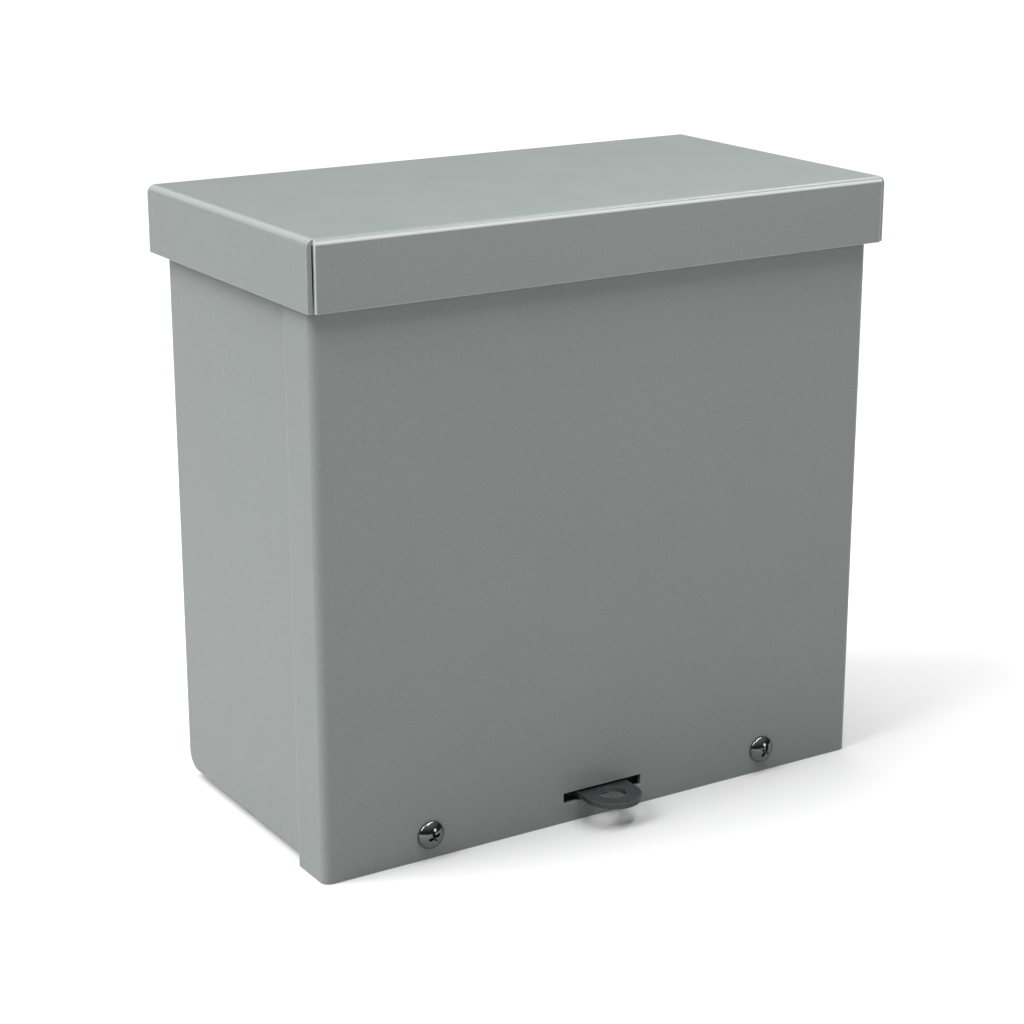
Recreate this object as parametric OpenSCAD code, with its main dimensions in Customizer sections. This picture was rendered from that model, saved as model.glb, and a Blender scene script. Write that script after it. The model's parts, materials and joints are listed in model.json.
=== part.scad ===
// Wall-mounted AC disconnect in a rainproof steel enclosure.
// +X is right, -Y is the front, +Z is up. The origin is the centre of the four
// wall-mounting holes, on the plane of the wall.

/* [Enclosure] */
// Clear width between the side panels
inside_w = 203.2; // [200:0.1:230]
// Clear height between the floor and the drip-shield top
inside_h = 200.3; // [196:0.1:230]
// Clear depth from the back panel to the front edges of the side panels
inside_d = 100.5; // [100:0.5:130]
// Thickness of the folded steel sheet
sheet = 1.6; // [1.2:0.1:1.8]
// Outside radius of the bends in the sheet
bend_r = 2.8; // [2.6:0.1:4]
// Outside radius of the bend between the back and the floor
heel_r = 6; // [4:0.1:7]
// Height of the folded lip at the front of the floor
lip_h = 14; // [13:0.5:20]

/* [Wall mounting] */
// Horizontal distance between the mounting holes
mount_w = 152.4; // [140:0.1:160]
// Vertical distance between the mounting holes
mount_h = 152.4; // [140:0.1:160]
// Radius of each mounting hole
mount_r = 3.6; // [3:0.1:4.5]
// How far the embossed pads stand behind the back panel
pad_h = 4.3; // [3.5:0.1:5]

/* [Cover] */
// Depth of the cover's side flanges
cover_flange = 17.3; // [12:0.1:30]
// How far the cover reaches below the floor
cover_drop = 3.2; // [2:0.1:6]
// How far the cover tucks up behind the drip shield
cover_tuck = 7.5; // [5:0.1:7.5]
// Gap between the cover and the side panels
cover_gap = 0.4; // [0.3:0.05:0.6]
// Distance of each cover screw from the centre line
screw_x = 66.65; // [50:0.05:80]
// Height of the screw centres above the floor's underside
screw_z = 5.22; // [5.1:0.01:6]

/* [Drip shield] */
// Height of the drip shield's skirt
skirt_h = 22.1; // [18:0.1:30]
// Overhang beyond the cover at each side
shield_side = 2.8; // [2.5:0.1:6]
// Overhang beyond the face of the cover
shield_front = 5.3; // [5:0.1:10]

// Outside radius of the tight bend along its front
brow_r = 1.7; // [0.8:0.1:2.5]

/* [Padlock hasp] */
// Width of the hasp's tab
hasp_w = 19.6; // [16:0.1:22]
// Distance of the padlock hole in front of the cover
hasp_reach = 6; // [5.8:0.1:9]
// Radius of the padlock hole
hasp_hole_r = 4.75; // [4:0.05:5]
// Thickness of the hasp
hasp_t = 1.9; // [1.6:0.1:2]

/* [Disconnect switch] */
// Width of the moulded base
base_w = 76; // [76:1:90]
// Height of the moulded base
base_h = 116; // [116:1:124]
// Distance between the two poles
pole_pitch = 34; // [34:0.5:36]
// Radius of the wire hole in each lug
wire_r = 4.2; // [3.5:0.1:4.4]

/* [Hidden] */
$fn = 64;

// Overlap that makes a cut pass cleanly through a face
over = 1;
// Gap round a screw or pin that is threaded or pressed into its hole
play = 0.05;
// How far a screw's tip stays behind the outer face of the sheet it enters
tip_inset = 0.1;

// Planes of the folded box
roof_z = (inside_h + 2 * sheet) / 2;
floor_z = -roof_z;
wall_top = roof_z - sheet;
side_x = inside_w / 2 + sheet;
back_out = -pad_h;
back_in = back_out - sheet;
side_front = back_in - inside_d;
cover_in = side_front - cover_gap;
cover_out = cover_in - sheet;
cover_x = side_x + cover_gap + sheet;
cover_bottom = floor_z - cover_drop;
skirt_z = roof_z - skirt_h;
cover_top = skirt_z + cover_tuck;
shield_x = cover_x + shield_side;
shield_y = cover_out - shield_front;

// Bevel along the front edge of each side panel, clear of the bend inside the cover
edge_break = 0.5;

// Open corner seams of the drip shield
seam_w = 0.55;
seam_end = 1.4;
seam_top = 0.5;
brow_inner_r = 0.3;

// Wall pads pressed into the back panel
pad_r = 10.2;
pad_foot_r = 14;

// Flange folded in along the top of the back panel
top_return = 12;

// Front lip of the floor, set back to leave room for the captive screws
lip_gap = 4.4;
lip_front = cover_in + lip_gap;
lip_bend_r = 2.5;
lip_hole_r = 3;
collar_r = 4.2;
collar_len = 1.2;

// Pan heads and their cross recesses, as shares of the head's radius and height
dome_share = 1.3;
recess_half = 0.55;
recess_w = 0.23;
recess_floor = 0.45;

// 10-32 captive cover screws
shank_r = 2.41;
screw_reach = 9.4;
screw_hole_r = 2.75;
head_r = 4.75;
head_h = 3;
head_root = 0.3;
retainer_r = 4.6;
retainer_t = 0.7;
retainer_gap = 0.2;
screw_axis_z = floor_z + screw_z;

// Slot in the cover for the hasp
slot_w = 31.2;
slot_h = 3.9;
slot_z = floor_z + 5.55;
hasp_top = floor_z + 6.55;
hasp_leg_w = 28;
hasp_leg_h = 9.5;
hasp_bend = 0.8;
hasp_play = 1;

// Concentric knockouts, 3/4 in. ring round a 1/2 in. slug
ring_r = 14.1;
slug_r = 11.1;
shear_gap = 0.1;
knockout_x = 50;
knockout_y = -55;
back_knockout_z = -80;

// Levels of the switch, measured forward from the back panel's inner face
floor_d = 9;
tower_d = 32;
tower_h = 60;
rib_d = 30;
rib_t = 2.5;
strap_t = 2;
strap_top = floor_d + strap_t;
shield_d = 32.2;
shield_t = 1.4;
carrier_d = 32.4;
plate_d = 46;
grip_d = 49;
bar_d = 63;
front_d = 71;

// Poles, blades and jaws
poles = [-pole_pitch / 2, pole_pitch / 2];
blade_t = 2;
blade_low = 13;
blade_high = 24;
blade_tip = 13;
bridge_d = 36;
bridge_end = 44;
leaf_t = 1.5;
leaf_w = 13;
leaf_gap = 0.1;
leaf_tip = 27;
strap_w = 12;
strap_start = 12;
strap_end = 54;

// Pocket of the base round each jaw, and groove round each strap
pocket_w = 10;
pocket_h = 17;
pocket_z = 10;
groove_play = 0.2;
groove_h = tower_h / 2;

// Lugs
lug_w = 14;
lug_z = 47;
lug_top = 27;
wire_d = 18.5;
set_r = 3;
set_top = 29.5;
set_slot_d = 1.5;
set_slot_w = 1;

// Dead front over the switch
shield_margin = 6;
shield_r = 5;
window_play = 1.6;
access_r = 4.5;
shield_screw_play = 0.4;

// Corner screws: two hold the base, two hold the dead front on posts of the base
corner_x = 30;
corner_z = 50;
post_r = 4;
post_bore_d = 22.2;
mould_r = 3;

// Screw sizes: shank radius, head radius, head height
base_screw = [2, 4, 2.6];
shield_screw = [1.5, 3, 2];
handle_screw = [1.4, 2.6, 1.8];
bar_screw = [2, 3.6, 2.4];
wire_screw = [1.9, 3.2, 2.2];

// Pull-out head
carrier_w = 62;
carrier_h = 54;
blade_play = 0.1;
pin_d = 40;
pin_r = 1.5;
pin_l = 56;
pin_bore_l = 60;
post_x = 25;
post_w = 6;
post_h = 12;
grip_h = 14;
grip_l = 58;
handle_bore_d = plate_d - 9;
handle_screw_play = 0.2;
handle_screws = [[-26, -21], [-26, 21], [26, -21], [26, 21]];

// Ground bar
bar_x = 70;
bar_z = -38;
bar_w = 10;
bar_l = 50;
bar_t = 9;
bar_end = 4.5;
ground_pitch = 8;
ground_wire_r = 2.3;

paint = [0.52, 0.55, 0.53];
zinc = [0.8, 0.8, 0.82];
phenolic = [0.1, 0.1, 0.11];
copper = [0.75, 0.45, 0.25];
aluminium = [0.75, 0.76, 0.78];

// ---- Helpers ----

// Removes the square corner at the origin outside a quarter circle of radius r
module corner_cut(r) {
  difference() {
    translate([-over, -over]) square(r + over);
    translate([r, r]) circle(r);
  }
}

// Rectangle about the origin with all four corners rounded
module rounded_rect(w, h, r) {
  difference() {
    square([w, h], center = true);
    for (i = [0, 1], j = [0, 1])
      mirror([i, 0]) mirror([0, j]) translate([-w / 2, -h / 2]) corner_cut(r);
  }
}

// Outline in Y and Z, extruded along X from x0
module along_x(x0, len) {
  translate([x0, 0, 0]) rotate([90, 0, 90]) linear_extrude(len) children();
}

// Outline in X and Z, extruded towards the front from y0
module along_front(y0, len) {
  translate([0, y0, 0]) rotate([90, 0, 0]) linear_extrude(len) children();
}

// Outline in X and Z, extruded forward between two levels of the switch
module from_back(d0, d1) {
  along_front(back_in - d0, d1 - d0) children();
}

// Round rod along Y between two levels of the switch
module rod(x, z, r, d0, d1) {
  from_back(d0, d1) translate([x, z]) circle(r);
}

// Pan head that stands towards the front from y0, with a cross recess
module pan_head(x, y0, z, r, h) {
  dome = r * dome_share;
  recess = r * recess_w;
  translate([x, y0, z]) rotate([90, 0, 0]) difference() {
    intersection() {
      cylinder(r = r, h = h);
      translate([0, 0, h - dome]) sphere(dome);
    }
    for (a = [0, 90]) rotate(a)
      translate([-r * recess_half, -recess / 2, h * recess_floor])
        cube([2 * r * recess_half, recess, h]);
  }
}

// Screw of size [shank radius, head radius, head height], its head seated at level d
module screw(x, z, d, tip, size) {
  pan_head(x, back_in - d, z, size[1], size[2]);
  rod(x, z, size[0], tip, d + size[2] * recess_floor / 2);
}

// ---- Enclosure ----

module side_outline() {
  difference() {
    translate([side_front, floor_z]) square([back_out - side_front, wall_top - floor_z]);
    translate([back_out, floor_z]) mirror([1, 0]) corner_cut(heel_r);
  }
}

// Side panel on the left (side = -1) or right (side = 1)
module side_panel(side) {
  color(paint) difference() {
    along_x(min(side * side_x, side * (side_x - sheet)), sheet) side_outline();
    translate([side * side_x, side_front, 0]) rotate(45)
      cube([edge_break * sqrt(2), edge_break * sqrt(2), 2 * roof_z], center = true);
  }
}

module folded_profile() {
  difference() {
    translate([lip_front, floor_z]) square([back_out - lip_front, wall_top - floor_z]);
    translate([back_out, floor_z]) mirror([1, 0]) corner_cut(heel_r);
    translate([lip_front, floor_z]) corner_cut(lip_bend_r);
    difference() {
      translate([lip_front + sheet, floor_z + sheet])
        square([back_in - lip_front - sheet, wall_top - floor_z]);
      translate([back_in, floor_z + sheet]) mirror([1, 0]) corner_cut(heel_r - sheet);
      translate([lip_front + sheet, floor_z + sheet]) corner_cut(lip_bend_r - sheet);
    }
    translate([lip_front - over, floor_z + lip_h]) square([sheet + 2 * over, roof_z * 2]);
  }
  translate([back_in - top_return, wall_top - sheet]) square([top_return + sheet, sheet]);
}

module wall_pad() {
  rotate([90, 0, 0]) rotate_extrude()
    polygon([[mount_r, 0], [pad_r, 0], [pad_foot_r, pad_h], [pad_foot_r, pad_h + sheet],
      [pad_r, pad_h + sheet], [pad_r - pad_h, sheet], [mount_r, sheet]]);
}

module at_wall_holes() {
  for (x = [-1, 1], z = [-1, 1])
    translate([x * mount_w / 2, 0, z * mount_h / 2]) children();
}

module back_and_floor_panel() {
  color(paint) {
    difference() {
      along_x(-inside_w / 2, inside_w) folded_profile();
      at_wall_holes() rotate([90, 0, 0]) cylinder(r = pad_foot_r - over, h = 3 * pad_h);
      for (x = [-knockout_x, knockout_x])
        translate([x, knockout_y, floor_z - over]) cylinder(r = ring_r, h = sheet + 2 * over);
      rod(0, back_knockout_z, ring_r, -sheet - over, over);
      for (x = [-screw_x, screw_x])
        along_front(lip_front + sheet + over, sheet + 2 * over)
          translate([x, screw_axis_z]) circle(lip_hole_r);
      along_front(lip_front + sheet + over, sheet + 2 * over)
        translate([0, hasp_top - hasp_t / 2])
          square([hasp_w + hasp_play, hasp_t + hasp_play], center = true);
      for (s = [-1, 1])
        rod(-s * corner_x, s * corner_z, base_screw[0] + play, -sheet - over, over);
      for (z = ground_bar_ends()) rod(bar_x, z, bar_screw[0] + play, -sheet - over, over);
    }
    at_wall_holes() wall_pad();
    for (x = [-screw_x, screw_x])
      along_front(lip_front + sheet + collar_len, collar_len) translate([x, screw_axis_z])
        difference() {
          circle(collar_r);
          circle(lip_hole_r);
        }
  }
}

// Box from y to back whose side edges are rounded by r along the top, and its front edge by fr
module shield_form(x, y, back, low, top, r, fr) {
  intersection() {
    along_front(back, back - y) difference() {
      translate([-x, low]) square([2 * x, top - low]);
      for (i = [0, 1]) mirror([i, 0]) translate([-x, top]) mirror([0, 1]) corner_cut(r);
    }
    along_x(-x, 2 * x) difference() {
      translate([y, low]) square([back - y, top - low]);
      translate([y, top]) mirror([0, 1]) corner_cut(fr);
    }
  }
}

module drip_shield_top() {
  seam_x = shield_x - sheet - seam_w;
  color(paint) difference() {
    shield_form(shield_x, shield_y, 0, skirt_z, roof_z, bend_r, brow_r);
    shield_form(shield_x - sheet, shield_y + sheet, over, skirt_z - over, wall_top,
      bend_r - sheet, brow_inner_r);
    for (i = [0, 1]) mirror([i, 0, 0]) translate([seam_x, shield_y - over, skirt_z - over]) {
      cube([sheet + seam_w + over, seam_end + over, skirt_h + 2 * over]);
      cube([seam_w, sheet + over, skirt_h + over - seam_top]);
    }
  }
}

module cover_plan(x, y, r) {
  difference() {
    translate([-x, y]) square([2 * x, cover_out + cover_flange - y]);
    for (i = [0, 1]) mirror([i, 0]) translate([-x, y]) corner_cut(r);
  }
}

module front_cover() {
  color(paint) difference() {
    translate([0, 0, cover_bottom]) linear_extrude(cover_top - cover_bottom)
      cover_plan(cover_x, cover_out, bend_r);
    translate([0, over, cover_bottom - over]) linear_extrude(cover_top - cover_bottom + 2 * over)
      cover_plan(cover_x - sheet, cover_in - over, bend_r - sheet);
    for (x = [-screw_x, screw_x])
      along_front(cover_in + over, sheet + 2 * over) translate([x, screw_axis_z])
        circle(screw_hole_r);
    along_front(cover_in + over, sheet + 2 * over) translate([0, slot_z])
      square([slot_w, slot_h], center = true);
  }
}

// Tab with a round end, folded up into a leg that is welded behind the lip
module padlock_hasp() {
  eye_y = cover_out - hasp_reach;
  leg_y = lip_front + sheet;
  color([0.35, 0.35, 0.36]) {
    translate([0, 0, hasp_top - hasp_t]) linear_extrude(hasp_t) difference() {
      union() {
        translate([0, eye_y]) circle(hasp_w / 2);
        translate([-hasp_w / 2, eye_y]) square([hasp_w, leg_y - eye_y]);
      }
      translate([0, eye_y]) circle(hasp_hole_r);
    }
    along_x(-hasp_leg_w / 2, hasp_leg_w) difference() {
      translate([leg_y, hasp_top - hasp_t]) square([hasp_t, hasp_leg_h]);
      translate([leg_y + hasp_t, hasp_top - hasp_t]) mirror([1, 0]) corner_cut(hasp_bend);
    }
  }
}

module cover_screw(x) {
  color(zinc) {
    pan_head(x, cover_out, screw_axis_z, head_r, head_h);
    along_front(cover_out + screw_reach, screw_reach + head_root)
      translate([x, screw_axis_z]) circle(shank_r);
  }
}

module screw_retainer(x) {
  color(zinc) along_front(lip_front - retainer_gap, retainer_t) translate([x, screw_axis_z])
    difference() {
      circle(retainer_r);
      circle(shank_r + play);
    }
}

module knockout() {
  difference() {
    circle(ring_r - shear_gap);
    circle(slug_r);
  }
  circle(slug_r - shear_gap);
}

module floor_knockouts() {
  color(paint) for (x = [-knockout_x, knockout_x])
    translate([x, knockout_y, floor_z]) linear_extrude(sheet) knockout();
}

module back_knockout() {
  color(paint) from_back(-sheet, 0) translate([0, back_knockout_z]) knockout();
}

// ---- Disconnect switch ----

module base_block() {
  color(phenolic) difference() {
    union() {
      from_back(0, floor_d) rounded_rect(base_w, base_h, mould_r);
      from_back(floor_d, tower_d) square([base_w, tower_h], center = true);
      for (x = [-1, 0, 1]) from_back(floor_d, rib_d)
        translate([x * (base_w - rib_t) / 2, 0])
          square([rib_t, base_h - 2 * mould_r], center = true);
      for (s = [-1, 1]) rod(s * corner_x, s * corner_z, post_r, floor_d, shield_d);
    }
    for (x = poles, s = [0, 1]) mirror([0, 0, s]) {
      from_back(strap_top, tower_d + over) translate([x - pocket_w / 2, pocket_z])
        square([pocket_w, pocket_h]);
      from_back(floor_d, strap_top + groove_play)
        translate([x - strap_w / 2 - groove_play, pocket_z])
          square([strap_w + 2 * groove_play, groove_h]);
    }
    for (s = [-1, 1]) {
      rod(-s * corner_x, s * corner_z, base_screw[0] + play, -over, floor_d + over);
      rod(s * corner_x, s * corner_z, shield_screw[0] + play, post_bore_d, shield_d + over);
    }
  }
}

module base_mounting_screws() {
  color(zinc) for (s = [-1, 1])
    screw(-s * corner_x, s * corner_z, floor_d, tip_inset - sheet, base_screw);
}

// Two spring leaves that grip a blade, on a strap that runs out under the lug
module jaws() {
  color(copper) for (x = poles) {
    from_back(floor_d, strap_top) translate([x - strap_w / 2, strap_start])
      square([strap_w, strap_end - strap_start]);
    for (s = [-1, 1]) from_back(floor_d, leaf_tip)
      translate([x + s * (blade_t / 2 + leaf_gap + leaf_t / 2), (blade_low + blade_high) / 2])
        square([leaf_t, leaf_w], center = true);
  }
}

module line_jaws() jaws();
module load_jaws() mirror([0, 0, 1]) jaws();

module lugs() {
  color(aluminium) for (x = poles) difference() {
    from_back(strap_top, lug_top) translate([x, lug_z]) square(lug_w, center = true);
    translate([x, back_in - wire_d, lug_z])
      cylinder(r = wire_r, h = lug_w + 2 * over, center = true);
    rod(x, lug_z, set_r + play, wire_d, lug_top + over);
  }
}

module line_lugs() lugs();
module load_lugs() mirror([0, 0, 1]) lugs();

module lug_screws() {
  color(zinc) for (x = poles) difference() {
    rod(x, lug_z, set_r, wire_d + wire_r + tip_inset, set_top);
    from_back(set_top - set_slot_d, set_top + over) translate([x, lug_z])
      square([2 * set_r + over, set_slot_w], center = true);
  }
}

module line_lug_screws() lug_screws();
module load_lug_screws() mirror([0, 0, 1]) lug_screws();

module dead_front_shield() {
  color([0.16, 0.16, 0.17]) from_back(shield_d, shield_d + shield_t) difference() {
    rounded_rect(base_w + 2 * shield_margin, base_h + 2 * shield_margin, shield_r);
    square([carrier_w + window_play, carrier_h + window_play], center = true);
    for (x = poles, s = [-1, 1]) translate([x, s * lug_z]) circle(access_r);
    for (s = [-1, 1]) translate([s * corner_x, s * corner_z])
      circle(shield_screw[0] + shield_screw_play);
  }
}

module dead_front_screws() {
  color(zinc) for (s = [-1, 1])
    screw(s * corner_x, s * corner_z, shield_d + shield_t, post_bore_d + over, shield_screw);
}

// ---- Pull-out head ----

// Rod along X through both blades
module cross_rod(r, len) {
  translate([0, back_in - pin_d, 0]) rotate([0, 90, 0]) cylinder(r = r, h = len, center = true);
}

module pull_out_carrier() {
  color(phenolic) difference() {
    from_back(carrier_d, plate_d) rounded_rect(carrier_w, carrier_h, mould_r);
    for (x = poles) from_back(carrier_d - over, bridge_end + blade_play)
      translate([x, 0])
        square([blade_t + 2 * blade_play, 2 * (blade_high + blade_play)], center = true);
    cross_rod(pin_r + play, pin_bore_l);
    for (p = handle_screws)
      rod(p[0], p[1], handle_screw[0] + play, handle_bore_d, plate_d + over);
  }
}

module pull_out_handle() {
  bar_mid = (bar_d + front_d) / 2;
  color(phenolic) difference() {
    union() {
      from_back(plate_d, grip_d) rounded_rect(carrier_w, carrier_h, mould_r);
      for (s = [-1, 1]) from_back(grip_d, bar_mid)
        translate([s * post_x, 0]) square([post_w, post_h], center = true);
      along_x(-grip_l / 2, grip_l) translate([back_in - bar_mid, 0])
        rounded_rect(front_d - bar_d, grip_h, mould_r);
    }
    for (p = handle_screws)
      rod(p[0], p[1], handle_screw[0] + handle_screw_play, plate_d - over, grip_d + over);
  }
}

// Copper link of one pole: two blades joined by a bridge
module link_profile() {
  for (s = [0, 1]) mirror([0, s]) translate([back_in - bridge_end, blade_low])
    square([bridge_end - blade_tip, blade_high - blade_low]);
  translate([back_in - bridge_end, -blade_high])
    square([bridge_end - bridge_d, 2 * blade_high]);
}

module pull_out_blades() {
  color(copper) for (x = poles) along_x(x - blade_t / 2, blade_t) difference() {
    link_profile();
    translate([back_in - pin_d, 0]) circle(pin_r + play);
  }
}

module blade_pin() {
  color(zinc) cross_rod(pin_r, pin_l);
}

module pull_out_screws() {
  color(zinc) for (p = handle_screws)
    screw(p[0], p[1], grip_d, handle_bore_d + over, handle_screw);
}

// ---- Ground bar ----

// Heights of the bar's two mounting screws and of its four wire holes
function ground_bar_ends() = [for (s = [-1, 1]) bar_z + s * (bar_l / 2 - bar_end)];
function ground_wires() = [for (i = [-1.5:1.5]) bar_z + i * ground_pitch];

module ground_bar() {
  color(aluminium) difference() {
    from_back(0, bar_t) translate([bar_x, bar_z]) square([bar_w, bar_l], center = true);
    for (z = ground_wires()) {
      translate([bar_x, back_in - bar_t / 2, z]) rotate([0, 90, 0])
        cylinder(r = ground_wire_r, h = 2 * bar_w, center = true);
      rod(bar_x, z, wire_screw[0] + play, bar_t / 2, bar_t + over);
    }
    for (z = ground_bar_ends()) rod(bar_x, z, bar_screw[0] + play, -over, bar_t + over);
  }
}

module ground_bar_screws() {
  color([0.2, 0.5, 0.25]) for (z = ground_bar_ends())
    screw(bar_x, z, bar_t, tip_inset - sheet, bar_screw);
}

module ground_wire_screws() {
  color(zinc) for (z = ground_wires())
    screw(bar_x, z, bar_t, bar_t / 2 + ground_wire_r + tip_inset, wire_screw);
}

back_and_floor_panel();
side_panel(-1);  // left_side_panel
side_panel(1);  // right_side_panel
drip_shield_top();
front_cover();
padlock_hasp();
cover_screw(-screw_x);  // left_cover_screw
cover_screw(screw_x);  // right_cover_screw
screw_retainer(-screw_x);  // left_screw_retainer
screw_retainer(screw_x);  // right_screw_retainer
floor_knockouts();
back_knockout();
base_block();
base_mounting_screws();
line_jaws();
load_jaws();
line_lugs();
load_lugs();
line_lug_screws();
load_lug_screws();
dead_front_shield();
dead_front_screws();
pull_out_carrier();
pull_out_handle();
pull_out_blades();
pull_out_screws();
blade_pin();
ground_bar();
ground_bar_screws();
ground_wire_screws();
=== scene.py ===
import json
import math

import bmesh
import bpy
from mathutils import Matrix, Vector


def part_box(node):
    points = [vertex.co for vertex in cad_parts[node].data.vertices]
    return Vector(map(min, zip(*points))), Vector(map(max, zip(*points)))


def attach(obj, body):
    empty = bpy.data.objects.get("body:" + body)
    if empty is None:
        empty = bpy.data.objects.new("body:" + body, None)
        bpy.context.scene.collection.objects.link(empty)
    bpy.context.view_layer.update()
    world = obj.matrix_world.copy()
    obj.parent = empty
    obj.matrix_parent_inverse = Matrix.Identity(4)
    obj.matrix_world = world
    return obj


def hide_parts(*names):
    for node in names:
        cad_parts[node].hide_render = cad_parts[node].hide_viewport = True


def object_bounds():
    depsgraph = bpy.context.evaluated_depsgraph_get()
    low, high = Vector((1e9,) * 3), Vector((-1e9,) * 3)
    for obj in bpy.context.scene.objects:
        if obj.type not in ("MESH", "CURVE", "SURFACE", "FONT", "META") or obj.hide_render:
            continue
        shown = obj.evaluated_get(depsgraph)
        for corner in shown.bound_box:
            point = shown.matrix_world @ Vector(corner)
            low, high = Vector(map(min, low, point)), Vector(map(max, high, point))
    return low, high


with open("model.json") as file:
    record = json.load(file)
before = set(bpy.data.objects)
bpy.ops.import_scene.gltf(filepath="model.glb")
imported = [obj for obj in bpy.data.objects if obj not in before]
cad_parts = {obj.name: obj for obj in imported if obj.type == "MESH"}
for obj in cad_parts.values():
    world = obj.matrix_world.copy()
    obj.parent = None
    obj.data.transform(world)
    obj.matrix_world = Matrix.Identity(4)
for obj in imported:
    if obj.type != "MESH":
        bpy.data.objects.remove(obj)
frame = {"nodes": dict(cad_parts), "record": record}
cad_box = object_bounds()

MM = 0.001

# ---- Camera: the photograph's view, worked out from the box's straight edges ----

LENS = 84.27
VIEW_AZIMUTH = -31.975
VIEW_ELEVATION = 17.222
CAMERA_PLACE = (-0.4182, -0.7210, 0.23085)


def back_vector(azimuth, elevation):
    """Unit vector from the object towards a camera at that azimuth and elevation, in degrees."""
    a, e = math.radians(azimuth), math.radians(elevation)
    return Vector((math.sin(a) * math.cos(e), -math.cos(a) * math.cos(e), math.sin(e)))


def make_camera():
    data = bpy.data.cameras.new("camera")
    data.lens = LENS
    data.clip_start = 0.01
    camera = bpy.data.objects.new("camera", data)
    camera.location = CAMERA_PLACE
    camera.rotation_mode = "QUATERNION"
    towards = -back_vector(VIEW_AZIMUTH, VIEW_ELEVATION)
    camera.rotation_quaternion = towards.to_track_quat("-Z", "Y")
    bpy.context.collection.objects.link(camera)
    bpy.context.scene.camera = camera


# ---- Node helpers ----


# Cosine of the angle between the rounded normal and the true one, where the mask of an edge's wear
# or painted highlight is full and where it is gone.
EDGE_DOT = 0.75
FLAT_DOT = 0.98


class Nodes:
    """Builds one material's node tree."""

    def __init__(self, name):
        self.material = bpy.data.materials.new(name)
        self.material.use_nodes = True
        self.tree = self.material.node_tree
        self.shader = self.tree.nodes["Principled BSDF"]
        self.coords = self.add("ShaderNodeTexCoord").outputs["Object"]

    def add(self, kind, **settings):
        node = self.tree.nodes.new(kind)
        for key, value in settings.items():
            setattr(node, key, value)
        return node

    def link(self, source, target):
        self.tree.links.new(source, target)

    def noise(self, scale, detail=2.0, roughness=0.5, stretch=None):
        node = self.add("ShaderNodeTexNoise")
        node.inputs["Scale"].default_value = scale
        node.inputs["Detail"].default_value = detail
        node.inputs["Roughness"].default_value = roughness
        coords = self.coords
        if stretch:
            mapping = self.add("ShaderNodeMapping")
            mapping.inputs["Scale"].default_value = stretch
            self.link(coords, mapping.inputs["Vector"])
            coords = mapping.outputs["Vector"]
        self.link(coords, node.inputs["Vector"])
        return node.outputs["Fac"]

    def remap(self, value, low, high, from_low=0.35, from_high=0.65):
        """Maps a value to low..high. The standing limits are where most of a noise lies."""
        node = self.add("ShaderNodeMapRange")
        node.inputs["From Min"].default_value = from_low
        node.inputs["From Max"].default_value = from_high
        node.inputs["To Min"].default_value = low
        node.inputs["To Max"].default_value = high
        self.link(value, node.inputs["Value"])
        return node.outputs["Result"]

    def mix(self, factor, first, second):
        """Mixes two colours, each a socket or an (r, g, b)."""
        node = self.add("ShaderNodeMix", data_type="RGBA")
        self.link(factor, node.inputs["Factor"])
        for socket, colour in ((node.inputs[6], first), (node.inputs[7], second)):
            if isinstance(colour, tuple):
                socket.default_value = (*colour, 1)
            else:
                self.link(colour, socket)
        return node.outputs[2]

    def bump(self, height, distance, strength=1.0, normal=None):
        node = self.add("ShaderNodeBump")
        node.inputs["Strength"].default_value = strength
        node.inputs["Distance"].default_value = distance
        self.link(height, node.inputs["Height"])
        if normal:
            self.link(normal, node.inputs["Normal"])
        return node.outputs["Normal"]

    def edges(self, radius):
        """1 within that radius of a sharp edge, where the rounded normal leans away from the
        true one, and 0 on flats."""
        bevel = self.add("ShaderNodeBevel", samples=4)
        bevel.inputs["Radius"].default_value = radius
        geometry = self.add("ShaderNodeNewGeometry")
        dot = self.add("ShaderNodeVectorMath", operation="DOT_PRODUCT")
        self.link(bevel.outputs["Normal"], dot.inputs[0])
        self.link(geometry.outputs["Normal"], dot.inputs[1])
        return self.remap(dot.outputs["Value"], 1.0, 0.0, EDGE_DOT, FLAT_DOT)

    def axis(self, name):
        """One of the object's own coordinates, in metres."""
        split = self.add("ShaderNodeSeparateXYZ")
        self.link(self.coords, split.inputs["Vector"])
        return split.outputs[name]

    def span(self):
        """Distance from the middle of the object, to either side."""
        node = self.add("ShaderNodeMath", operation="ABSOLUTE")
        self.link(self.axis("X"), node.inputs[0])
        return node.outputs["Value"]

    def step(self, value, start, end):
        """0 before start and 1 past end, with a smooth rise between them. start may be the
        larger one."""
        node = self.add("ShaderNodeMapRange", interpolation_type="SMOOTHSTEP")
        node.inputs["From Min"].default_value = start
        node.inputs["From Max"].default_value = end
        self.link(value, node.inputs["Value"])
        return node.outputs["Result"]

    def times(self, first, second):
        node = self.add("ShaderNodeMath", operation="MULTIPLY")
        for socket, value in zip(node.inputs, (first, second)):
            if isinstance(value, float):
                socket.default_value = value
            else:
                self.link(value, socket)
        return node.outputs["Value"]

    def surface(self, colour, roughness, normal, **sockets):
        """Links the three to the shader, sets its other sockets and returns the material."""
        self.link(colour, self.shader.inputs["Base Color"])
        self.link(roughness, self.shader.inputs["Roughness"])
        self.link(normal, self.shader.inputs["Normal"])
        for key, value in sockets.items():
            self.shader.inputs[key].default_value = value
        return self.material


# ---- Materials ----


def shade(colour, factor):
    return tuple(c * factor for c in colour)


# Drip shield: thickness of its side flanges, and the open seam between them and the front flap.
SHIELD_SHEET = 1.6 * MM
SHIELD_SEAM = 0.55 * MM
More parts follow.
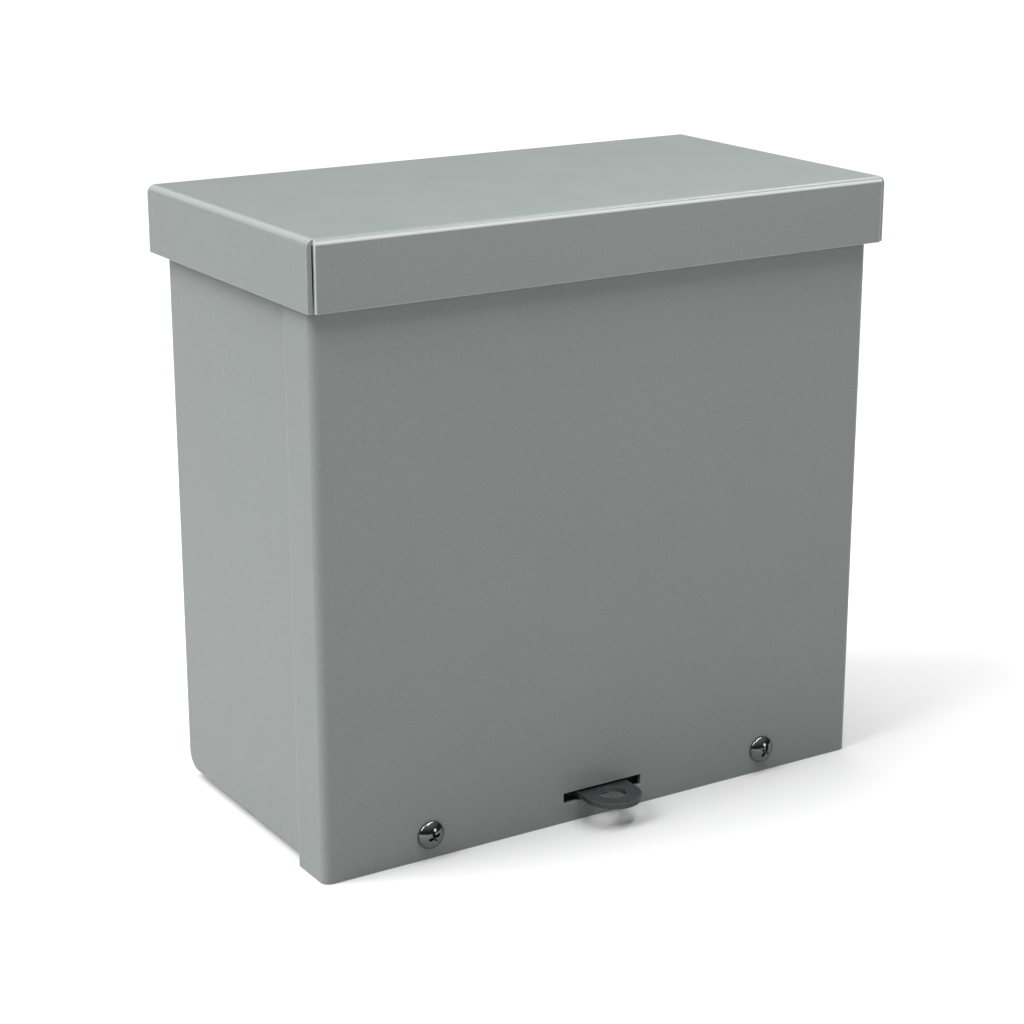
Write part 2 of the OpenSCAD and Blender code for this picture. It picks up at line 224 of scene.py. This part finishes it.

# Painted highlight along the front bend of the drip shield, as distances behind the front, below
# the top and past the flap's edge. Each pair is where it is gone and where it is full.
BROW_DEPTH = (2.2 * MM, 1.6 * MM)
BROW_LOWER = (2.0 * MM, 1.6 * MM)
BROW_UPPER = (0.7 * MM, 1.05 * MM)
BROW_END = (0.3 * MM, 0.1 * MM)

# Painted highlight on the cut edges of the flap, in the same way. The inner pair is short of the
# flap's edge.
SEAM_INNER = (0.15 * MM, 0.03 * MM)
SEAM_OUTER = (0.3 * MM, 0.15 * MM)
SEAM_DEPTH = (1.4 * MM, 1.2 * MM)
SEAM_FOOT = 0.4 * MM


def flap_edge():
    """Distance from the middle to either cut edge of the drip shield's front flap."""
    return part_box("drip_shield_top")[1].x - SHIELD_SHEET - SHIELD_SEAM


def painted_brow_highlight(n):
    """1 along the tight front bend of the drip shield, where a highlight line is painted."""
    low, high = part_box("drip_shield_top")
    edge = flap_edge()
    height = n.axis("Z")
    front = n.step(n.axis("Y"), low.y + BROW_DEPTH[0], low.y + BROW_DEPTH[1])
    above = n.step(height, high.z - BROW_LOWER[0], high.z - BROW_LOWER[1])
    below = n.step(height, high.z - BROW_UPPER[0], high.z - BROW_UPPER[1])
    inside = n.step(n.span(), edge + BROW_END[0], edge + BROW_END[1])
    return n.times(n.times(front, inside), n.times(above, below))


def painted_seam_highlight(n):
    """1 on the cut edges of the drip shield's front flap, where a highlight is painted."""
    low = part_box("drip_shield_top")[0]
    edge = flap_edge()
    inner = n.step(n.span(), edge - SEAM_INNER[0], edge - SEAM_INNER[1])
    outer = n.step(n.span(), edge + SEAM_OUTER[0], edge + SEAM_OUTER[1])
    front = n.step(n.axis("Y"), low.y + SEAM_DEPTH[0], low.y + SEAM_DEPTH[1])
    height = n.step(n.axis("Z"), low.z - SEAM_FOOT, low.z)
    return n.times(n.times(inner, outer), n.times(front, height))


# Colours of the enclosure's paint and of its painted highlights, and the reach of the paler edges
# of each kind of surface: painted highlight on paint, wear and painted highlight on plating, wear
# on bare metal and plastic.
PAINT = (0.268, 0.297, 0.287)
WARM_PAINT = (0.275, 0.293, 0.285)
# Colour of the painted highlight on the front flap's cut edges.
SEAM_HIGHLIGHT = (0.63, 0.65, 0.64)
# Colour of the painted highlight along the drip shield's front bend.
BROW_HIGHLIGHT = (0.72, 0.73, 0.725)
PAINT_HIGHLIGHT_REACH = 0.6 * MM
PLATING_WEAR_AND_HIGHLIGHT = 0.4 * MM
METAL_WEAR = 0.3 * MM
PLASTIC_WEAR = 0.6 * MM


def powder_coat():
    """Satin grey-green powder coat: orange peel, a fine grain, and painted highlights on its edges,
    on the front flap's cut edges and along the drip shield's front bend.
    """
    n = Nodes("powder_coat")
    cloud = n.remap(n.noise(14, 3), 0, 1)
    warm = n.remap(n.noise(26, 2), 0, 1, 0.45, 0.7)
    speck = n.remap(n.noise(1100, 2, 0.7), 0, 1)
    colour = n.mix(cloud, shade(PAINT, 0.985), shade(PAINT, 1.015))
    colour = n.mix(warm, colour, WARM_PAINT)
    colour = n.mix(speck, shade(PAINT, 0.91), colour)
    # Painted highlight: the paint is paler on every eased edge.
    colour = n.mix(n.edges(PAINT_HIGHLIGHT_REACH), colour, shade(PAINT, 1.7))
    # Painted highlight on the cut edges of the front flap, at the seam.
    colour = n.mix(n.times(painted_seam_highlight(n), 0.9), colour, SEAM_HIGHLIGHT)
    # Painted highlight: a pale line along the drip shield's front bend.
    colour = n.mix(n.times(painted_brow_highlight(n), 0.95), colour, BROW_HIGHLIGHT)
    peel = n.bump(n.noise(520, 2), 0.00010, 0.35)
    grain = n.bump(n.noise(2600, 1), 0.00003, 0.35, peel)
    rough = n.remap(n.noise(60, 2), 0.38, 0.43)
    coat = {"Coat Weight": 0.4, "Coat Roughness": 0.2, "Specular IOR Level": 0.45}
    return n.surface(colour, rough, grain, **coat)


def plated(name, colour, rough, streak=0.1, metallic=1.0, blotch_low=0.9, edge=1.25):
    """Plated metal with faint blotches, fine scratches and bright edges, partly worn and partly a
    painted highlight. streak is the depth of the scratches, and blotch_low and edge are factors on
    the colour."""
    n = Nodes(name)
    blotch = n.remap(n.noise(220, 3), 0, 1)
    base = n.mix(blotch, shade(colour, blotch_low), colour)
    # Bright edges: wear, and a painted highlight.
    base = n.mix(n.edges(PLATING_WEAR_AND_HIGHLIGHT), base, shade(colour, edge))
    scratch = n.noise(700, 2, 0.6, stretch=(1, 1, 6))
    roughness = n.remap(n.noise(500, 3), rough * 0.75, rough * 1.3)
    normal = n.bump(scratch, 0.00002, streak)
    return n.surface(base, roughness, normal, Metallic=metallic)


def tarnished(name, colour, dull, rough):
    """Bare metal with patches oxidised to the dull colour, and drawing lines."""
    n = Nodes(name)
    patch = n.remap(n.noise(130, 5, 0.65), 0, 1, 0.4, 0.68)
    base = n.mix(patch, colour, dull)
    base = n.mix(n.edges(METAL_WEAR), base, shade(colour, 1.15))
    roughness = n.remap(n.noise(160, 4), rough * 0.8, rough * 1.5)
    normal = n.bump(n.noise(900, 2, 0.6, stretch=(6, 6, 0.5)), 0.00002, 0.25)
    return n.surface(base, roughness, normal, Metallic=1.0)


def moulded(name, colour, rough):
    """Moulded plastic with a faint flow pattern, a fine grain and paler rubbed edges."""
    n = Nodes(name)
    flow = n.remap(n.noise(40, 4, 0.6), 0, 1)
    base = n.mix(flow, shade(colour, 0.8), shade(colour, 1.2))
    dust = n.remap(n.noise(600, 3, 0.7), 0, 1, 0.6, 0.75)
    base = n.mix(dust, base, shade(colour, 1.9))
    base = n.mix(n.edges(PLASTIC_WEAR), base, shade(colour, 2.4))
    roughness = n.remap(n.noise(150, 3), rough * 0.8, rough * 1.2)
    normal = n.bump(n.noise(1500, 2), 0.00004, 0.4)
    return n.surface(base, roughness, normal)


# Hasp zinc: a dark plate, darkened further as a painted dark reflection.
DARK_ZINC = (0.085, 0.087, 0.09)
# Screw zinc, darkened from bright zinc as a painted dark reflection on the lower half of the heads.
SCREW_ZINC_PAINTED_DARK = (0.23, 0.232, 0.235)
ZINC = (0.62, 0.63, 0.64)
GREEN_ZINC = (0.07, 0.34, 0.12)
PHENOLIC = (0.03, 0.03, 0.032)
SHEET_PLASTIC = (0.065, 0.065, 0.068)
COPPER, DULL_COPPER = (0.86, 0.45, 0.26), (0.46, 0.21, 0.12)
ALUMINIUM, DULL_ALUMINIUM = (0.75, 0.76, 0.77), (0.52, 0.53, 0.54)


def make_materials():
    """One material for each slot of the record."""
    return {
        "enclosure_paint": powder_coat(),
        # edge=3.2 paints bright highlight lines on the hasp's edges.
        "hasp_steel": plated("hasp_steel", DARK_ZINC, rough=0.32, streak=0.05, metallic=0.55,
                             blotch_low=0.97, edge=3.2),
        # The screws' dark base colour is a painted dark reflection.
        "bright_screw": plated("bright_screw", SCREW_ZINC_PAINTED_DARK, rough=0.10, streak=0.03),
        "zinc_steel": plated("zinc_steel", ZINC, rough=0.25),
        "moulded_black": moulded("moulded_black", PHENOLIC, rough=0.36),
        "shield_plastic": moulded("shield_plastic", SHEET_PLASTIC, rough=0.5),
        "copper": tarnished("copper", COPPER, DULL_COPPER, rough=0.24),
        "lug_aluminium": tarnished("lug_aluminium", ALUMINIUM, DULL_ALUMINIUM, rough=0.3),
        "ground_green": plated("ground_green", GREEN_ZINC, rough=0.28),
    }


# ---- Stage ----


FLOOR_HALF = 6.0


def grey(level):
    return (level, level, level)


def make_floor():
    """A pale floor under the object, large enough to fill every view. It looks paler than the
    light that it throws back, as paper between black flags does."""
    mesh = bpy.data.meshes.new("floor")
    z = cad_box[0].z
    signs = ((-1, -1), (1, -1), (1, 1), (-1, 1))
    corners = [(sx * FLOOR_HALF, sy * FLOOR_HALF, z) for sx, sy in signs]
    mesh.from_pydata(corners, [], [(0, 1, 2, 3)])
    floor = bpy.data.objects.new("floor", mesh)
    bpy.context.collection.objects.link(floor)
    n = Nodes("floor_paper")
    thrown_back = n.mix(n.noise(3, 2), grey(0.46), grey(0.48))
    pale = n.mix(n.noise(3, 2), grey(0.77), grey(0.79))
    seen = n.add("ShaderNodeLightPath").outputs["Is Camera Ray"]
    tint = n.mix(seen, thrown_back, pale)
    rough = n.remap(n.noise(20, 2), 0.85, 0.95)
    grain = n.bump(n.noise(300, 2), 0.0001, 0.1)
    mesh.materials.append(n.surface(tint, rough, grain, **{"Specular IOR Level": 0.1}))


def area_light(name, place, aim, size, power):
    """A rectangular lamp at a place, turned towards aim."""
    data = bpy.data.lights.new(name, "AREA")
    data.shape = "RECTANGLE"
    data.size, data.size_y = size
    data.energy = power
    light = bpy.data.objects.new(name, data)
    light.location = place
    direction = Vector(aim) - Vector(place)
    light.rotation_mode = "QUATERNION"
    light.rotation_quaternion = direction.to_track_quat("-Z", "Y")
    bpy.context.collection.objects.link(light)


# Height of a direction, as the sine of its elevation, and the sky's strength there.
SKY_LOW, SKY_LOW_STRENGTH = 0.3, 0.05
SKY_HIGH, SKY_HIGH_STRENGTH = 0.95, 0.45
BACKDROP_STRENGTH = 0.9


def make_world():
    """A soft overhead sky that darkens towards the horizon, like a lit studio ceiling, before a
    pale backdrop that gives no light."""
    world = bpy.data.worlds.new("studio")
    world.use_nodes = True
    tree = world.node_tree
    background = tree.nodes["Background"]
    coords = tree.nodes.new("ShaderNodeTexCoord")
    split = tree.nodes.new("ShaderNodeSeparateXYZ")
    ramp = tree.nodes.new("ShaderNodeMapRange")
    ramp.inputs["From Min"].default_value = SKY_LOW
    ramp.inputs["From Max"].default_value = SKY_HIGH
    ramp.inputs["To Min"].default_value = SKY_LOW_STRENGTH
    ramp.inputs["To Max"].default_value = SKY_HIGH_STRENGTH
    tree.links.new(coords.outputs["Generated"], split.inputs["Vector"])
    tree.links.new(split.outputs["Z"], ramp.inputs["Value"])
    tree.links.new(ramp.outputs["Result"], background.inputs["Strength"])
    background.inputs["Color"].default_value = (1, 1, 1, 1)
    backdrop = tree.nodes.new("ShaderNodeBackground")
    backdrop.inputs["Strength"].default_value = BACKDROP_STRENGTH
    backdrop.inputs["Color"].default_value = (1, 1, 1, 1)
    seen = tree.nodes.new("ShaderNodeLightPath").outputs["Is Camera Ray"]
    choose = tree.nodes.new("ShaderNodeMixShader")
    tree.links.new(seen, choose.inputs["Fac"])
    tree.links.new(background.outputs["Background"], choose.inputs[1])
    tree.links.new(backdrop.outputs["Background"], choose.inputs[2])
    tree.links.new(choose.outputs["Shader"], tree.nodes["World Output"].inputs["Surface"])
    bpy.context.scene.world = world


def sun_light(name, azimuth, elevation, softness, power):
    """Light from far off in that direction. softness is the width of its source, in degrees."""
    data = bpy.data.lights.new(name, "SUN")
    data.energy = power
    data.angle = math.radians(softness)
    light = bpy.data.objects.new(name, data)
    light.rotation_mode = "QUATERNION"
    light.rotation_quaternion = back_vector(azimuth, elevation).to_track_quat("Z", "Y")
    bpy.context.collection.objects.link(light)


def make_lights():
    sun_light("window", azimuth=-98, elevation=45, softness=40, power=2.52)
    sun_light("skylight", azimuth=-155, elevation=75, softness=50, power=1.8)
    sun_light("back_softbox", azimuth=-174, elevation=27, softness=40, power=0.3)
    sun_light("front_card", azimuth=34, elevation=15, softness=16, power=0.2)
    area_light("strip", place=(0.12, -0.24, 0.42), aim=(0.02, -0.11, 0.05),
               size=(0.7, 0.05), power=1.4)
    area_light("left_fill", place=(-0.55, 0.0, 0.7), aim=(-0.1, -0.05, 0.1),
               size=(0.3, 0.3), power=0.95)


# ---- CAD pieces with finished edges ----

slots = {s["node"]: s["material_slot"] for s in frame["record"]["subparts"]}

EDGE_WIDTH = {
    "padlock_hasp": 0.4 * MM,
    "pull_out_handle": 1.0 * MM,
    "pull_out_carrier": 0.6 * MM,
    "base_block": 0.5 * MM,
    "dead_front_shield": 0.3 * MM,
    "line_lugs": 0.5 * MM,
    "load_lugs": 0.5 * MM,
    "ground_bar": 0.4 * MM,
    "pull_out_screws": 0.12 * MM,
    "dead_front_screws": 0.12 * MM,
    "ground_wire_screws": 0.12 * MM,
    "ground_bar_screws": 0.12 * MM,
    "base_mounting_screws": 0.12 * MM,
    "left_screw_retainer": 0.1 * MM,
    "right_screw_retainer": 0.1 * MM,
}
PAINT_EDGE = 0.25 * MM
EASED_FROM = math.radians(40)


def finish_node(node, materials):
    """Gives a CAD node its material, and eases its hard edges so that they catch the light."""
    piece = frame["nodes"][node]
    piece.data.materials.clear()
    piece.data.materials.append(materials[slots[node]])
    bevel = piece.modifiers.new("eased_edges", "BEVEL")
    bevel.width = EDGE_WIDTH.get(node, PAINT_EDGE)
    bevel.segments = 3
    bevel.limit_method = "ANGLE"
    bevel.angle_limit = EASED_FROM


# ---- Meshes built here ----


def add_piece(name, bm, material, body, smooth_angle=None):
    """Makes an object of a bmesh, gives it its material and ties it to a CAD body. Edges
    sharper than smooth_angle, in degrees, stay sharp."""
    mesh = bpy.data.meshes.new(name)
    bm.to_mesh(mesh)
    bm.free()
    mesh.materials.append(material)
    if smooth_angle is not None:
        mesh.shade_smooth()
        mesh.set_sharp_from_angle(angle=math.radians(smooth_angle))
    piece = bpy.data.objects.new(name, mesh)
    bpy.context.collection.objects.link(piece)
    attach(piece, body)
    return piece


def ring_verts(bm, centre, radius, out, count):
    """A ring round the Y axis through centre, `out` metres in front of it. radius may be a
    function of the angle."""
    verts = []
    for i in range(count):
        t = 2 * math.pi * i / count
        r = radius(t) if callable(radius) else radius
        place = (centre.x + r * math.cos(t), centre.y - out, centre.z + r * math.sin(t))
        verts.append(bm.verts.new(place))
    return verts


def join_rings(bm, rings):
    """Skins the rings in order, into one closed form with outward normals."""
    count = len(rings[0])
    for first, second in zip(rings, rings[1:]):
        for i in range(count):
            j = (i + 1) % count
            bm.faces.new((first[i], first[j], second[j], second[i]))
    bm.faces.new(list(reversed(rings[0])))
    bm.faces.new(rings[-1])
    bmesh.ops.recalc_face_normals(bm, faces=bm.faces)


SCREW_SEGMENTS = 64
HEAD_R = 4.75 * MM
HEAD_H = 3.0 * MM
DOME_R = 1.3 * HEAD_R
RIM_EASE = 0.18 * MM
SHANK_LEN = 9.4 * MM
THREAD_R = 2.38 * MM
THREAD_DEPTH = 0.42 * MM
THREAD_PITCH = 0.79375 * MM
RINGS_PER_TURN = 8
TIP_TAPER = 1.0 * MM
TIP_INSET = 0.5 * MM
DOME_STEPS = 14
RECESS_MOUTH = {"out": 3.4 * MM, "arm": 2.75 * MM, "half": 0.60 * MM}
RECESS_FLOOR = {"out": 0.9 * MM, "arm": 0.85 * MM, "half": 0.34 * MM}
RECESS_EASE = 0.08 * MM
RECESS_SHARP = math.radians(38)
RECESS_EASED_FROM = math.radians(45)


def dome_radius(height):
    """Radius of the pan head's dome at a height above its seat."""
    return math.sqrt(max(DOME_R**2 - (height + DOME_R - HEAD_H) ** 2, 0))


def head_profile():
    """(radius, height) pairs from the seat of the head to near the crown."""
    rim_height = math.sqrt(DOME_R**2 - HEAD_R**2) - (DOME_R - HEAD_H)
    profile = [(HEAD_R - RIM_EASE, 0.0), (HEAD_R - RIM_EASE * 0.3, RIM_EASE * 0.3)]
    profile += [(HEAD_R, RIM_EASE), (HEAD_R, rim_height - RIM_EASE)]
    profile += [(HEAD_R - RIM_EASE * 0.25, rim_height)]
    for i in range(1, DOME_STEPS):
        f = math.sin(i / DOME_STEPS * math.pi / 2)
        height = rim_height + (HEAD_H - rim_height) * f
        profile.append((min(dome_radius(height), HEAD_R - RIM_EASE * 0.3), height))
    return profile


def thread_radius(height):
    """Outline of the thread round the shank at a height, as a function of the angle."""
    taper = max(0.0, 1 - (height + SHANK_LEN) / TIP_TAPER)

    def radius(angle):
        phase = (height / THREAD_PITCH + angle / (2 * math.pi)) % 1.0
        return THREAD_R - THREAD_DEPTH * abs(2 * phase - 1) - TIP_INSET * taper

    return radius


def screw_body(centre):
    """A pan-head machine screw that points into the box, closed, without its recess."""
    bm = bmesh.new()
    rings = []
    turns = SHANK_LEN / THREAD_PITCH
    count = int(turns * RINGS_PER_TURN)
    for i in range(count + 1):
        height = -SHANK_LEN + SHANK_LEN * i / count
        rings.append(ring_verts(bm, centre, thread_radius(height), height, SCREW_SEGMENTS))
    for radius, height in head_profile():
        rings.append(ring_verts(bm, centre, radius, height, SCREW_SEGMENTS))
    join_rings(bm, rings)
    return bm


def turned(x, z, angle):
    c, s = math.cos(angle), math.sin(angle)
    return x * c - z * s, x * s + z * c


def cross_outline(arm, half):
    """Twelve corners of a cross with arms of that reach and half width."""
    quarter = [(arm, -half), (arm, half), (half, half)]
    return [turned(x, z, k * math.pi / 2) for k in range(4) for x, z in quarter]


def recess_cutter(centre, turn):
    """Tapered cross driver recess, wide at the crown, as a closed mesh."""
    bm = bmesh.new()
    rings = []
    for level in (RECESS_MOUTH, RECESS_FLOOR):
        ring = []
        for corner in cross_outline(level["arm"], level["half"]):
            x, z = turned(*corner, turn)
            ring.append(bm.verts.new((centre.x + x, centre.y - level["out"], centre.z + z)))
        rings.append(ring)
    join_rings(bm, rings)
    bmesh.ops.triangulate(bm, faces=[f for f in bm.faces if len(f.verts) > 4])
    return bm


def cut(piece, cutter_bm):
    """Cuts the closed bmesh out of the piece and applies the result."""
    mesh = bpy.data.meshes.new("cutter")
    cutter_bm.to_mesh(mesh)
    cutter_bm.free()
    cutter = bpy.data.objects.new("cutter", mesh)
    bpy.context.collection.objects.link(cutter)
    boolean = piece.modifiers.new("recess", "BOOLEAN")
    boolean.operation = "DIFFERENCE"
    boolean.solver = "EXACT"
    boolean.object = cutter
    bpy.context.view_layer.update()
    evaluated = piece.evaluated_get(bpy.context.evaluated_depsgraph_get())
    result = bpy.data.meshes.new_from_object(evaluated)
    piece.modifiers.clear()
    piece.data = result
    bpy.data.objects.remove(cutter)


def make_cover_screw(side, turn, materials):
    """Detailed screw in place of the plain CAD one, on the body that turns. turn is how far
    its recess is turned at rest."""
    node = side + "_cover_screw"
    low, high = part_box(node)
    centre = Vector(((low.x + high.x) / 2, low.y + HEAD_H, (low.z + high.z) / 2))
    material = materials["bright_screw"]
    piece = add_piece(node + "_detail", screw_body(centre), material, side + "_screw")
    cut(piece, recess_cutter(centre, turn))
    piece.data.shade_smooth()
    piece.data.set_sharp_from_angle(angle=RECESS_SHARP)
    bevel = piece.modifiers.new("recess_edge", "BEVEL")
    bevel.width = RECESS_EASE
    bevel.segments = 2
    bevel.limit_method = "ANGLE"
    bevel.angle_limit = RECESS_EASED_FROM
    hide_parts(node)


def add_box(bm, low, high, ease):
    """Adds a box between two corners, its edges rounded by `ease`."""
    made = bmesh.ops.create_cube(bm, size=1.0)
    for v in made["verts"]:
        v.co = Vector([lo + (c + 0.5) * (hi - lo) for c, lo, hi in zip(v.co, low, high)])
    edges = list({e for v in made["verts"] for e in v.link_edges})
    bmesh.ops.bevel(bm, geom=edges, offset=ease, segments=2, profile=0.5, affect="EDGES")


RIDGE_COUNT = 11
RIDGE_WIDTH = 1.9 * MM
RIDGE_PROUD = 0.8 * MM
RIDGE_ROOT = 0.6 * MM
RIDGE_EASE = 0.25 * MM
RIDGE_ROW = 36.0 * MM
RIDGE_FRONT = 1.2 * MM
RIDGE_BACK = 6.8 * MM
GRIP_HALF_HEIGHT = 7.0 * MM


def make_grip_ridges(materials):
    """Moulded finger ridges above and below the pull-out's grip bar."""
    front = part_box("pull_out_handle")[0].y
    bm = bmesh.new()
    for i in range(RIDGE_COUNT):
        x = -RIDGE_ROW / 2 + RIDGE_ROW * i / (RIDGE_COUNT - 1)
        for sign in (-1, 1):
            root = sign * (GRIP_HALF_HEIGHT - RIDGE_ROOT)
            crest = sign * (GRIP_HALF_HEIGHT + RIDGE_PROUD)
            low = (x - RIDGE_WIDTH / 2, front + RIDGE_FRONT, min(root, crest))
            high = (x + RIDGE_WIDTH / 2, front + RIDGE_BACK, max(root, crest))
            add_box(bm, low, high, RIDGE_EASE)
    add_piece("handle_grip_ridges", bm, materials["moulded_black"], "pull_out",
              40)


def main():
    bpy.context.scene.view_settings.view_transform = "Standard"
    make_camera()
    make_world()
    make_lights()
    make_floor()
    materials = make_materials()
    for node in frame["nodes"]:
        finish_node(node, materials)
    make_cover_screw("left", turn=math.radians(20), materials=materials)
    make_cover_screw("right", turn=math.radians(55), materials=materials)
    make_grip_ridges(materials)


main()
